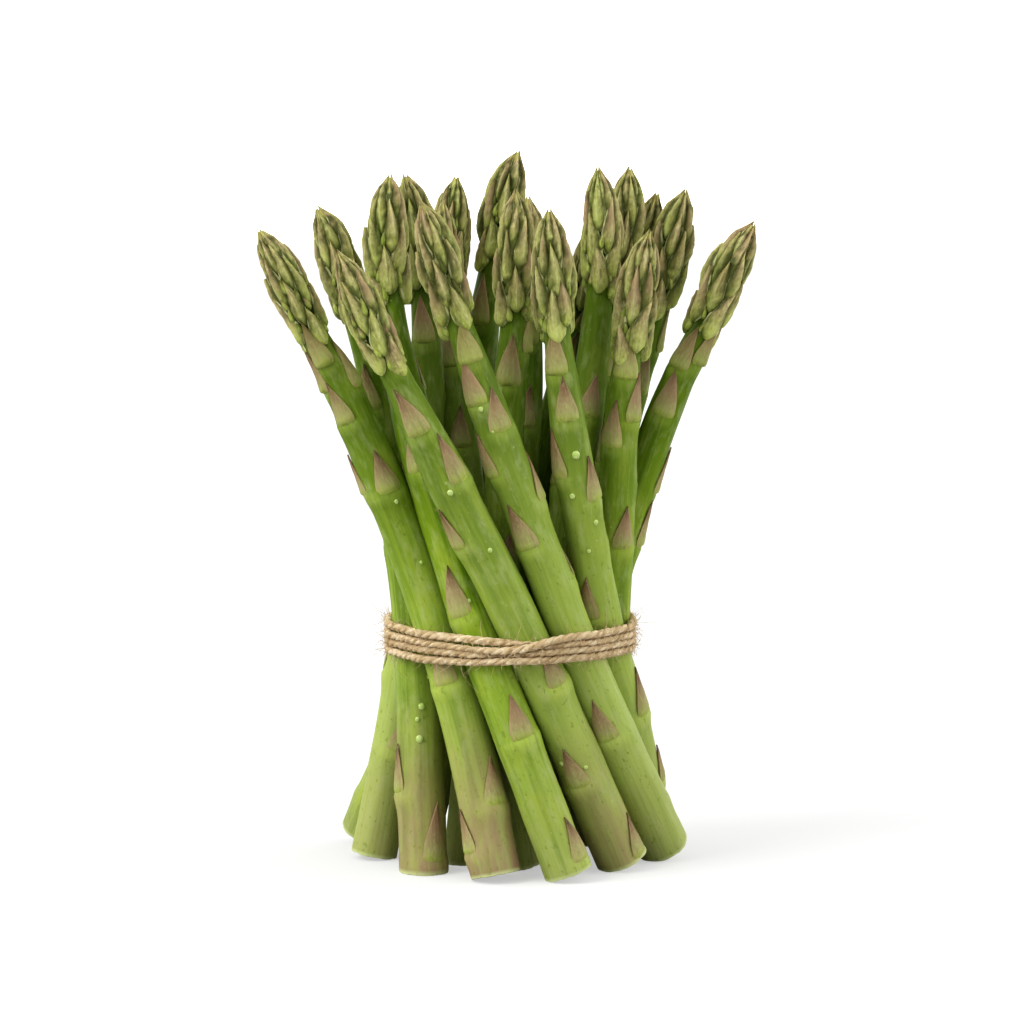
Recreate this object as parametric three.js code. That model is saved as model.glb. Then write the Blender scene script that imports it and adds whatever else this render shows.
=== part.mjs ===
// A bundle of fresh asparagus spears tied round the middle with jute twine, standing on its cut ends.
// Millimetres, +Z up, the front of the bundle faces -Y, origin at the middle of the standing plane.
import * as THREE from 'three';

// Driving dimensions
const WAIST_HEIGHT = 72;       // middle of the twine binding above the standing plane
const SHOULDER_HEIGHT = 140;   // height of the third guide point of every spear
const WAIST_RADIUS = 37.5;     // the binding draws all spears inside this radius
const CLEARANCE = 0.9;         // gap kept between neighbouring stems, room for the scale leaves
const SIDES = 10;              // facets round a spear
const STEM_STEP = 14;          // distance between plain rings along a stem
const HEAD_LENGTH = 34;        // length of the bud-covered head
const HEAD_RADIUS = 6.9;       // thickest radius of a head
const NECK_RADIUS = 4.7;       // stem radius just under a head
const HEAD_RINGS = 9;
const BUD_RELIEF = 0.55;       // how far buds stand out of the head
const LEAF_LENGTH = 10;
const LEAF_RELIEF = 0.7;       // how far the foot of a scale leaf stands out of the stem
const TWINE_RADIUS = 1.5;
const TWINE_SIDES = 8;
const TWINE_TURNS = 4;
const TWINE_PITCH = 3.35;
const TWINE_GAP = 0.75;        // gap kept between the twine and the stems
const TAIL_LENGTH = 15;        // cut ends of the twine beyond the knot

// Each spear: where its foot, waist and shoulder are ([x, y]), where its tip is ([x, y, z]),
// its thickness at foot, waist and shoulder, how firmly it keeps its place when neighbours push (0 to 1),
// and its scale leaves as [height, direction], the direction in degrees from the front towards the right.
const SPEARS = [
  { foot: [-4, -31], waist: [-20.5, -22.5], shoulder: [-46, -24], tip: [-76, -26, 198], girth: [14.6, 13.2, 11.6],
    firm: 0.95, leaves: [[9, -60], [22, 35], [55, -15], [119, 10], [141, -30], [149, 75], [158, -15]] },
  { foot: [-28, -15], waist: [-30.5, -6], shoulder: [-40, -4], tip: [-60, -2, 204], girth: [14.4, 13, 10.8],
    firm: 0.9, flat: true, leaves: [[4, 30], [24, -70], [50, 170], [100, -140], [122, 60], [143, -30], [155, 100]] },
  { foot: [37, -8], waist: [7.5, -29.5], shoulder: [-26, -42], tip: [-51, -48, 192], girth: [14.2, 12.8, 11.8],
    firm: 0.95, leaves: [[4, 60], [31, -20], [55, 35], [90, 170], [106, -60], [123, 35], [139, -10], [157, 45]] },
  { foot: [17, -28], waist: [-9, -29], shoulder: [-31.5, -22], tip: [-38, -12, 215], girth: [13.4, 12.2, 10.8],
    firm: 0.85, leaves: [[5, 60], [44, 20], [82, -25], [104, 150], [125, -10], [148, 120], [160, -30]] },
  { foot: [-44, 8], waist: [-31, 7], shoulder: [-24.5, 4], tip: [-31, 0, 214], girth: [13.6, 12.4, 9.4],
    firm: 0.7, leaves: [[35, 15], [58, -120], [96, 100], [118, -20], [146, 160], [163, -10]] },
  { foot: [-18, -1], waist: [-15.5, 0], shoulder: [-22.5, 8], tip: [-26, 16, 206], girth: [13, 12.4, 11.6],
    firm: 0.5, leaves: [[28, 100], [52, -40], [98, 160], [129, 5], [154, 0]] },
  { foot: [49, 12], waist: [19.5, -24.5], shoulder: [-5.5, -34], tip: [-27, -38, 206], girth: [13.8, 12.6, 11.2],
    firm: 0.95, leaves: [[18, 160], [45, -15], [90, 120], [104, -25], [115, 85], [126, -65], [138, 20], [147, -32], [159, 0]] },
  { foot: [-50, 38], waist: [-25.5, 18], shoulder: [-21, 24], tip: [-17.5, 32, 213], girth: [13.2, 12, 10.6],
    firm: 0.3, leaves: [[14, 200], [36, -50], [57, 130], [98, 180], [121, 60], [146, -150], [161, 10]] },
  { foot: [-31, 40], waist: [-16, 27], shoulder: [-11.5, 32], tip: [2, 36, 221.5], girth: [13.4, 12.2, 11],
    firm: 0.3, leaves: [[20, 170], [44, 60], [95, 150], [117, -100], [142, 180], [166, -20]] },
  { foot: [3, -11], waist: [-5, -14], shoulder: [-1.5, -10], tip: [1, -8, 210], girth: [13, 12.2, 9.6],
    firm: 0.3, leaves: [[26, -30], [54, 90], [93, 20], [120, -160], [150, -10], [160, 80]] },
  { foot: [-12, 17], waist: [-2.5, 14.5], shoulder: [4, 12], tip: [5, 12, 207], girth: [13, 12.2, 10.4],
    firm: 0.2, leaves: [[30, 180], [52, -90], [96, 40], [136, 0], [162, 0]] },
  { foot: [41, 27], waist: [27, -15.5], shoulder: [16, -27], tip: [10.5, -30, 205], girth: [13.4, 12, 10.8],
    firm: 0.85, leaves: [[24, 90], [48, 60], [81, -35], [102, 150], [116, 55], [124, -60], [141, 0], [155, -25]] },
  { foot: [17, 5], waist: [12, -8], shoulder: [23, -3], tip: [27.5, -1, 216], girth: [13.2, 12.2, 10.6],
    firm: 0.6, leaves: [[20, 20], [50, -130], [94, 80], [118, -60], [140, 10], [162, 150]] },
  { foot: [-14, 44], waist: [-2.5, 30.5], shoulder: [16, 27], tip: [31, 19, 205], girth: [13.4, 12.2, 10.6],
    firm: 0.2, leaves: [[16, 190], [42, 140], [97, 170], [124, -170], [150, -20]] },
  { foot: [6, 18], waist: [13, 7.5], shoulder: [28, 7], tip: [39.5, 9, 217], girth: [13.2, 12.2, 10.8],
    firm: 0.2, leaves: [[25, 120], [55, -20], [92, 160], [126, 40], [152, -10]] },
  { foot: [3, 45], waist: [11, 28.5], shoulder: [28, 27], tip: [45, 20, 208], girth: [13.2, 12, 10.4],
    firm: 0.3, leaves: [[12, 160], [38, 200], [58, 150], [100, 170], [128, 110], [153, 180]] },
  { foot: [12, 30], waist: [23, 20.5], shoulder: [35, 15], tip: [51, 8, 209], girth: [13, 12, 10.6],
    firm: 0.3, leaves: [[19, 90], [47, 170], [99, 110], [122, 60], [147, 20], [160, 100]] },
  { foot: [26, 34], waist: [33.5, -2], shoulder: [35, -14], tip: [43, -18, 197.5], girth: [12.8, 11, 10.6],
    firm: 0.92, leaves: [[15, 90], [40, 100], [101, 25], [120, 140], [132, -30], [140, 50], [153, 0]] },
  { foot: [38, 44], waist: [31.5, 13], shoulder: [48.5, 4], tip: [76, 2, 199], girth: [12.8, 10.8, 9.8],
    firm: 0.9, leaves: [[30, 60], [52, 130], [100, 85], [117, 95], [140, -10], [154, -30], [157, 60]] },
];

// A smooth course through a spear's four guide points, as a cubic of the height.
function guideAt(points, z) {
  const out = new THREE.Vector3(0, 0, z);
  points.forEach((p, i) => {
    let weight = 1;
    points.forEach((q, j) => {
      if (j !== i) weight *= (z - q.z) / (p.z - q.z);
    });
    out.x += weight * p.x;
    out.y += weight * p.y;
  });
  return out;
}

// Stem radius at a height, drawn in to the neck and swelling again in the head.
function radiusAt(spear, z) {
  const [foot, waist, shoulder] = spear.girth.map((d) => d / 2);
  const headBase = spear.tip[2] - HEAD_LENGTH;
  const mix = THREE.MathUtils.lerp;
  if (z <= WAIST_HEIGHT) return mix(foot, waist, Math.max(z, 0) / WAIST_HEIGHT);
  if (z <= SHOULDER_HEIGHT) return mix(waist, shoulder, (z - WAIST_HEIGHT) / (SHOULDER_HEIGHT - WAIST_HEIGHT));
  const neck = Math.min(NECK_RADIUS, shoulder);
  if (z <= headBase) return mix(shoulder, neck, (z - SHOULDER_HEIGHT) / Math.max(headBase - SHOULDER_HEIGHT, 1));
  const t = Math.min((z - headBase) / HEAD_LENGTH, 1);
  const swell = mix(neck, HEAD_RADIUS, Math.sin(Math.min(t / 0.32, 1) * Math.PI / 2));
  const taper = t < 0.32 ? 1 : Math.cos((t - 0.32) / 0.68 * Math.PI / 2) ** 0.75;
  return Math.max(swell * taper, 0.9);
}

// Closest distance between two short straight pieces of stem, with how far along each it falls.
function closest(p1, q1, p2, q2) {
  const d1 = q1.clone().sub(p1);
  const d2 = q2.clone().sub(p2);
  const r = p1.clone().sub(p2);
  const a = d1.dot(d1);
  const e = d2.dot(d2);
  const f = d2.dot(r);
  const c = d1.dot(r);
  const b = d1.dot(d2);
  const denom = a * e - b * b;
  const clamp = THREE.MathUtils.clamp;
  let s = denom > 1e-9 ? clamp((b * f - c * e) / denom, 0, 1) : 0.5;
  let t = clamp((b * s + f) / e, 0, 1);
  s = clamp((b * t - c) / a, 0, 1);
  const gap = p1.clone().addScaledVector(d1, s).sub(p2.clone().addScaledVector(d2, t));
  return { gap, s, t };
}

// Lets the spears push each other aside until they all clear, the way a tied bundle settles.
const LEVELS = 24;
const ROUNDS = 420;
const FREE_ROUNDS = 100;       // at the end the stems keep nearly all of each push
function settle(spears) {
  const courses = spears.map((spear) => {
    const points = [
      new THREE.Vector3(...spear.foot, 0),
      new THREE.Vector3(...spear.waist, WAIST_HEIGHT),
      new THREE.Vector3(...spear.shoulder, SHOULDER_HEIGHT),
      new THREE.Vector3(...spear.tip),
    ];
    return Array.from({ length: LEVELS + 1 }, (_, k) => guideAt(points, spear.tip[2] * k / LEVELS));
  });
  const start = courses.map((course) => course.map((p) => p.clone()));
  for (let round = 0; round < ROUNDS; round += 1) {
    for (let i = 0; i < courses.length; i += 1) {
      for (let j = i + 1; j < courses.length; j += 1) {
        const yieldI = 1.02 - spears[i].firm;
        const yieldJ = 1.02 - spears[j].firm;
        for (let k = 0; k < LEVELS; k += 1) {
          for (let m = Math.max(k - 3, 0); m <= Math.min(k + 3, LEVELS - 1); m += 1) {
            const a = courses[i];
            const b = courses[j];
            const near = closest(a[k], a[k + 1], b[m], b[m + 1]);
            const za = a[k].z + near.s * (a[k + 1].z - a[k].z);
            const zb = b[m].z + near.t * (b[m + 1].z - b[m].z);
            const want = radiusAt(spears[i], za) + radiusAt(spears[j], zb) + CLEARANCE;
            const have = near.gap.length();
            if (have >= want) continue;
            const push = near.gap.setZ(0).normalize().multiplyScalar((want - have) * 0.5 / (yieldI + yieldJ));
            a[k].addScaledVector(push, yieldI * (1 - near.s));
            a[k + 1].addScaledVector(push, yieldI * near.s);
            b[m].addScaledVector(push, -yieldJ * (1 - near.t));
            b[m + 1].addScaledVector(push, -yieldJ * near.t);
          }
        }
      }
    }
    courses.forEach((course, i) => {
      const drift = course.map((p, k) => p.clone().sub(start[i][k]));
      course.forEach((p, k) => {
        const low = drift[Math.max(k - 1, 0)];
        const high = drift[Math.min(k + 1, LEVELS)];
        const keep = round < ROUNDS - FREE_ROUNDS ? 0.45 : 0.92;
        const eased = low.clone().add(high).multiplyScalar(0.5).lerp(drift[k], keep);
        p.copy(start[i][k]).add(eased);
        const reach = WAIST_RADIUS - radiusAt(spears[i], p.z);
        const across = Math.hypot(p.x, p.y);
        if (Math.abs(p.z - WAIST_HEIGHT) < 8 && across > reach) {
          p.x *= 1 + 0.5 * (reach / across - 1);
          p.y *= 1 + 0.5 * (reach / across - 1);
        }
      });
    });
  }
  return courses;
}

// A closed skin over a stack of rings, with a fan over each end.
function loft(rings) {
  const count = rings[0].length;
  const middle = (ring) => ring.reduce((sum, p) => sum.add(p), new THREE.Vector3()).divideScalar(count);
  const points = rings.flat().concat([middle(rings[0]), middle(rings[rings.length - 1])]);
  const index = [];
  for (let r = 0; r + 1 < rings.length; r += 1) {
    for (let s = 0; s < count; s += 1) {
      const a = r * count + s;
      const b = r * count + (s + 1) % count;
      index.push(a, b, b + count, a, b + count, a + count);
    }
  }
  const last = (rings.length - 1) * count;
  for (let s = 0; s < count; s += 1) {
    const next = (s + 1) % count;
    index.push(points.length - 2, next, s);
    index.push(points.length - 1, last + s, last + next);
  }
  const geometry = new THREE.BufferGeometry();
  geometry.setAttribute('position', new THREE.Float32BufferAttribute(points.flatMap((p) => [p.x, p.y, p.z]), 3));
  geometry.setIndex(index);
  geometry.computeVertexNormals();
  return geometry;
}

// A ring of points across a direction; reach(angle) gives the radius, the angle counted from the front (-Y).
function ringAcross(centre, along, sides, reach) {
  const front = new THREE.Vector3(0, -1, 0).addScaledVector(along, along.y).normalize();
  const side = new THREE.Vector3().crossVectors(along, front);
  return Array.from({ length: sides }, (_, s) => {
    const angle = s * 2 * Math.PI / sides;
    const r = reach(angle);
    return centre.clone().addScaledVector(front, r * Math.cos(angle)).addScaledVector(side, r * Math.sin(angle));
  });
}

function turnBetween(a, b) {
  return Math.abs(Math.atan2(Math.sin(a - b), Math.cos(a - b)));
}

// How much a spear's skin stands out at a height and direction because of its leaves and buds.
function relief(spear, z, angle) {
  const headBase = spear.tip[2] - HEAD_LENGTH;
  const facet = 2 * Math.PI / SIDES;
  let out = 0;
  for (const [height, direction] of spear.leaves) {
    const facing = Math.round(THREE.MathUtils.degToRad(direction) / facet) * facet;
    const t = (z - height) / LEAF_LENGTH;
    if (t >= 0 && t <= 1 && turnBetween(angle, facing) < (t < 0.45 ? 1.5 : 0.5) * facet) {
      out = Math.max(out, LEAF_RELIEF * (1 - 0.75 * t));
    }
  }
  if (z > headBase + 1 && z < spear.tip[2] - 3) {
    const row = Math.floor((z - headBase) / (HEAD_LENGTH / HEAD_RINGS) + 0.5);
    const step = Math.round(angle / facet);
    out = Math.max(out, (step + 2 * row) % 5 < 2 ? BUD_RELIEF : -BUD_RELIEF / 2);
  }
  return out;
}

// One spear: stem, scale leaves and head are one grown piece, so one closed skin.
function makeSpear(spear, course) {
  const curve = new THREE.CatmullRomCurve3(course, false, 'catmullrom', 0.5);
  const height = spear.tip[2];
  const headBase = height - HEAD_LENGTH;
  const levels = [];
  for (let z = STEM_STEP; z < headBase; z += STEM_STEP) levels.push(z);
  for (let k = 0; k <= HEAD_RINGS; k += 1) levels.push(headBase + HEAD_LENGTH * k / HEAD_RINGS);
  for (const [z] of spear.leaves) levels.push(z - 0.5, z, z + LEAF_LENGTH * 0.5);
  levels.sort((a, b) => a - b);
  const kept = levels.filter((z, i) => z > 1.2 && (i === 0 || z - levels[i - 1] > 0.3));
  const frameAt = (z) => {
    const t = Math.min(z / height, 1);
    return { centre: curve.getPoint(t), along: curve.getTangent(t).normalize() };
  };
  const rings = kept.map((z) => {
    const { centre, along } = frameAt(z);
    return ringAcross(centre, along, SIDES, (angle) => radiusAt(spear, z) + relief(spear, z, angle));
  });
  const { centre, along } = frameAt(0);
  let cut = ringAcross(centre, along, SIDES, () => radiusAt(spear, 0));
  if (spear.flat) {
    cut = cut.map((p) => p.addScaledVector(along, -p.z / along.z));
  } else {
    const lowest = Math.min(...cut.map((p) => p.z));
    cut = cut.map((p) => p.addScaledVector(along, -lowest / along.z));
  }
  const highest = Math.max(...cut.map((p) => p.z));
  const clear = rings.filter((ring) => Math.min(...ring.map((p) => p.z)) > highest + 0.6 || ring[0].z > 12);
  return loft([cut, ...clear]);
}

// The outline of all stems at a height, grown by a margin and wrapped like a tight string.
function wrapOutline(spears, courses, z, margin) {
  const points = [];
  courses.forEach((course, i) => {
    const k = Math.min(Math.floor(z / course[LEVELS].z * LEVELS), LEVELS - 1);
    const p = course[k].clone().lerp(course[k + 1], (z - course[k].z) / (course[k + 1].z - course[k].z));
    const along = course[k + 1].clone().sub(course[k]).normalize();
    const r = radiusAt(spears[i], z);
    const flat = new THREE.Vector2(along.x, along.y);
    for (let s = 0; s < 28; s += 1) {
      const unit = new THREE.Vector2(Math.cos(s * Math.PI / 14), Math.sin(s * Math.PI / 14));
      const lean = unit.dot(flat.clone().normalize()) ** 2;
      const reach = r * (1 + (1 / along.z - 1) * lean) + margin;
      points.push(new THREE.Vector2(p.x + unit.x * reach, p.y + unit.y * reach));
    }
  });
  points.sort((a, b) => a.x - b.x || a.y - b.y);
  const turn = (o, a, b) => (a.x - o.x) * (b.y - o.y) - (a.y - o.y) * (b.x - o.x);
  const chain = (list) => {
    const out = [];
    for (const p of list) {
      while (out.length > 1 && turn(out[out.length - 2], out[out.length - 1], p) <= 0) out.pop();
      out.push(p);
    }
    out.pop();
    return out;
  };
  return chain(points).concat(chain([...points].reverse()));
}

function reachTowards(outline, angle) {
  const dx = Math.cos(angle);
  const dy = Math.sin(angle);
  let best = 0;
  outline.forEach((a, i) => {
    const b = outline[(i + 1) % outline.length];
    const cross = dx * (b.y - a.y) - dy * (b.x - a.x);
    if (Math.abs(cross) < 1e-9) return;
    const along = (a.x * (b.y - a.y) - a.y * (b.x - a.x)) / cross;
    const part = (a.x * dy - a.y * dx) / cross;
    if (part >= -1e-6 && part <= 1 + 1e-6) best = Math.max(best, along);
  });
  return best;
}

// The twine: one cord from a cut end through a half knot at the back, four turns round, and out again.
function makeTwine(spears, courses) {
  const margin = TWINE_RADIUS + TWINE_GAP;
  const bottom = WAIST_HEIGHT - TWINE_PITCH * TWINE_TURNS / 2;
  const back = Math.PI / 2;
  const knotHalf = 6;
  const stepsPerTurn = 28;
  const outlines = new Map();
  const reachAt = (angle, z) => {
    let best = 0;
    for (const dz of [-TWINE_RADIUS, 0, TWINE_RADIUS]) {
      const key = Math.round((z + dz) * 4) / 4;
      if (!outlines.has(key)) outlines.set(key, wrapOutline(spears, courses, key, margin));
      best = Math.max(best, reachTowards(outlines.get(key), angle));
    }
    return best;
  };
  const wrap = [];
  const lead = 0.42;
  const sweep = TWINE_TURNS * 2 * Math.PI - 2 * lead;
  const steps = stepsPerTurn * TWINE_TURNS;
  for (let k = 0; k <= steps; k += 1) {
    const turned = lead + sweep * k / steps;
    const angle = back + turned;
    const z = bottom + TWINE_PITCH * turned / (2 * Math.PI);
    const r = reachAt(angle, z);
    wrap.push(new THREE.Vector3(r * Math.cos(angle), r * Math.sin(angle), z));
  }
  const depth = reachAt(back, WAIST_HEIGHT) + 2 * TWINE_RADIUS + 0.5 + 2.1 * TWINE_RADIUS;
  const coil = 1.14 * TWINE_RADIUS;
  const strand = (phase) => Array.from({ length: 13 }, (_, k) => {
    const turned = phase + k / 12 * 3 * Math.PI;
    const x = knotHalf - 2 * knotHalf * k / 12;
    return new THREE.Vector3(x, depth + coil * Math.cos(turned), WAIST_HEIGHT + coil * Math.sin(turned));
  });
  const first = strand(Math.PI / 2);
  const second = strand(-Math.PI / 2);
  const tailA = [
    new THREE.Vector3(knotHalf + TAIL_LENGTH * 0.72, depth + 2, WAIST_HEIGHT - TAIL_LENGTH * 0.35),
    new THREE.Vector3(knotHalf + TAIL_LENGTH * 0.4, depth + 2.4, WAIST_HEIGHT + 0.5),
  ];
  const tailB = [
    new THREE.Vector3(-knotHalf - TAIL_LENGTH * 0.4, depth + 2.4, WAIST_HEIGHT + 2.5),
    new THREE.Vector3(-knotHalf - TAIL_LENGTH * 0.72, depth + 2, WAIST_HEIGHT - TAIL_LENGTH * 0.2),
  ];
  const path = new THREE.CatmullRomCurve3([...tailA, ...first, ...wrap, ...second, ...tailB], false, 'centripetal');
  const pieces = steps + 64;
  const frames = path.computeFrenetFrames(pieces, false);
  const rings = Array.from({ length: pieces + 1 }, (_, k) => {
    const centre = path.getPointAt(k / pieces);
    return Array.from({ length: TWINE_SIDES }, (_, s) => {
      const angle = s * 2 * Math.PI / TWINE_SIDES;
      return centre.clone()
        .addScaledVector(frames.normals[k], TWINE_RADIUS * Math.cos(angle))
        .addScaledVector(frames.binormals[k], TWINE_RADIUS * Math.sin(angle));
    });
  });
  return loft(rings);
}

const bundle = new THREE.Group();
bundle.name = 'asparagus_bundle';

function add(name, geometry, colour, roughness) {
  const material = new THREE.MeshStandardMaterial({ color: colour, roughness, metalness: 0 });
  const mesh = new THREE.Mesh(geometry, material);
  mesh.name = name;
  bundle.add(mesh);
}

const courses = settle(SPEARS);
SPEARS.forEach((spear, i) => {
  add(`spear_${String(i + 1).padStart(2, '0')}`, makeSpear(spear, courses[i]), 0x7fa83c, 0.55);
});
add('twine', makeTwine(SPEARS, courses), 0xc2a77c, 0.9);

// The middle of the standing plane is the origin.
const box = new THREE.Box3().setFromObject(bundle);
const shift = box.getCenter(new THREE.Vector3()).setZ(box.min.z).negate();
bundle.children.forEach((mesh) => mesh.geometry.translate(shift.x, shift.y, shift.z));

export default bundle;
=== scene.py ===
import math

import bpy
import numpy as np
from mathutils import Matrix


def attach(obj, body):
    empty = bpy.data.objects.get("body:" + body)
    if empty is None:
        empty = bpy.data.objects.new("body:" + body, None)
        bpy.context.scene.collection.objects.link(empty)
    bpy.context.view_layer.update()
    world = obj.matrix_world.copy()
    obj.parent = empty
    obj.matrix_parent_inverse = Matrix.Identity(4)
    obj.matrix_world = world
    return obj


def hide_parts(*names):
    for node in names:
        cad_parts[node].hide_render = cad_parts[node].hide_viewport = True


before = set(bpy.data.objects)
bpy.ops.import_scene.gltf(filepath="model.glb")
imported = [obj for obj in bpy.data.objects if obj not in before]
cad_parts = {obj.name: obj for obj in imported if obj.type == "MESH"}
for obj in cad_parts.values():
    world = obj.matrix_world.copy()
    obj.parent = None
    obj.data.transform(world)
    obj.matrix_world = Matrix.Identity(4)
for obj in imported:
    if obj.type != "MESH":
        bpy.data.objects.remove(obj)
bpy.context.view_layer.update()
bpy.ops.object.select_all(action="DESELECT")

# ---------------------------------------------------------------------------------------------
# The stems. Each spear is one grown shoot of fresh asparagus: a round fleshy stem, thickest at the
# cut foot and drawn in to a neck under the head. Every shoot is modelled straight and upright, and
# once its leaves and head are on, it is bent to lie along its packed spear.

MM = 0.001
SPEAR_COUNT = 19
STEM_SIDES = 36
RING_STEP = 2.2 * MM
FEWEST_RINGS = 10
SLICE_STEP = 5 * MM
FOOT_SKIP = 14 * MM            # level slices below this meet the slanted cut
TIP_SKIP = 3 * MM              # slices nearer the top than this are too small to read
TIP_CAP = 0.5 * MM
BELOW_FLOOR = 4 * MM           # a course is carried on this far under the cut
COURSE_STEP = 1 * MM
COURSE_SMOOTHING = 11          # points to each side that are averaged
RADIUS_SMOOTHING = 14
NEAR_FOOT = 8                  # the point of a course just above its cut
FULLNESS = 0.45 * MM           # the real stems press on each other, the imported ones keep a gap
WIDEST_STEM = 9 * MM           # most that a radius may be
HEAD_ONLY = 36 * MM            # nearer the tip than this only the head's own profile counts
HEAD_TO_NECK = 78 * MM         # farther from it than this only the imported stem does
CORE_BELOW_TIP = np.array([0, 2, 5, 9, 14, 20, 26, 32, 38, 46, 56, 78]) * MM
CORE_RADIUS = np.array([0.2, 0.65, 1.6, 2.8, 3.8, 4.3, 4.3, 4.1, 3.9, 4.1, 4.5, 5.4]) * MM
LEVEL_CUT_LEAN = math.radians(9)
CORE_SHORT = 1.6 * MM          # the core ends below the tip, where only the last scales go on
TIP_REACH = 1.3 * MM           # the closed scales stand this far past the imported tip
TIP_BROWNING = 9 * MM          # the core browns over the first stretch of this
TIP_BROWNING_FADE = 5 * MM
LOW_LEAVES = 90                # leaves below this height, in mm, stand on bolder swellings
LOW_SWELLING = 1.15 * MM
HIGH_SWELLING = 0.8 * MM
SWELLING_BELOW = 4.2 * MM      # how far the swelling at a leaf's foot runs down and up the stem
SWELLING_ABOVE = 1.6 * MM
BROAD_RIB = 0.012              # ribs and waver as shares of the radius
FINE_RIB = 0.008
WAVER = 0.012
RAGGED_EDGE = 0.2 * MM         # the edge of the cut, where the knife left it uneven
BROAD_RAG = 0.15 * MM
FINE_RAG = 0.1 * MM
# The cut end from its edge to its middle, as (inwards, upwards) in mm.
CUT_STEPS = [(0.35, -0.12), (0.5, 0.3), (1.6, 0.25), (1.8, 0.15)]

# Scale leaves as (height in mm, direction in degrees from the front towards the right).
LEAVES = [
    [(9, -60), (22, 35), (60, -15), (119, 10), (120, -88), (141, -30), (149, 75), (151, -80),
     (158, -15)],
    [(4, 30), (24, -70), (50, 170), (100, -140), (122, 60), (143, -30), (155, 100)],
    [(4, 60), (31, -20), (60, 35), (90, 170), (106, -60), (123, 35), (139, -10), (157, 45)],
    [(5, 60), (44, 20), (82, -25), (104, 150), (125, -10), (148, 120), (160, -30)],
    [(35, 15), (58, -120), (96, 100), (118, -20), (146, 160), (163, -10)],
    [(28, 100), (52, -40), (98, 160), (129, 5), (154, 0)],
    [(18, 160), (45, -15), (90, 120), (104, -25), (115, 85), (126, -65), (138, 20), (147, -32), (159, 0)],
    [(14, 200), (36, -50), (57, 130), (98, 180), (121, 60), (146, -150), (161, 10)],
    [(20, 170), (44, 60), (95, 150), (117, -100), (142, 180), (166, -20)],
    [(26, -30), (54, 90), (93, 20), (120, -160), (150, -10), (160, 80)],
    [(30, 180), (52, -90), (96, 40), (136, 0), (162, 0)],
    [(24, 90), (48, 60), (81, -35), (102, 150), (116, 55), (124, -60), (141, 0), (155, -25)],
    [(20, 20), (50, -130), (94, 80), (118, -60), (140, 10), (162, 150)],
    [(16, 190), (42, 140), (97, 170), (124, -170), (150, -20)],
    [(25, 120), (55, -20), (92, 160), (126, 40), (152, -10)],
    [(12, 160), (38, 200), (58, 150), (100, 170), (128, 110), (153, 180)],
    [(19, 90), (47, 170), (99, 110), (122, 60), (147, 20), (160, 100)],
    [(15, 90), (40, 100), (101, 25), (120, 140), (132, -30), (140, 50), (153, 0)],
    [(30, 60), (52, 130), (100, 85), (117, 95), (140, -10), (154, -30), (157, 60)],
]
# How mauve the foot of each spear has gone: 0 is green still, 1 is mauve all round.
FOOT_BLUSH = [1.1, 1, 0.8, 0.1, 0.35, 0.2, 0.2, 0.15, 0.3, 0.2,
              0.5, 0.3, 0.2, 0.4, 0.2, 0.5, 0.3, 0.4, 0.3]
# How pale its skin is between the foot and the shoulder, from 0 to 1.
PALENESS = [0.4, 0.3, 0.75, 0.1, 1.0, 0.8, 1.0, 0.05, 0.4, 0.4,
            0.3, 0.95, 0.6, 0.1, 0.2, 0.5, 0.1, 0.4, 0.2]


def smooth(values, width):
    """A running average that keeps straight runs straight, ends included."""
    kernel = np.hanning(2 * width + 3)[1:-1]
    kernel /= kernel.sum()
    low = 2 * values[0] - values[width:0:-1]
    high = 2 * values[-1] - values[-2:-width - 2:-1]
    return np.convolve(np.concatenate([low, values, high]), kernel, mode="valid")


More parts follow.
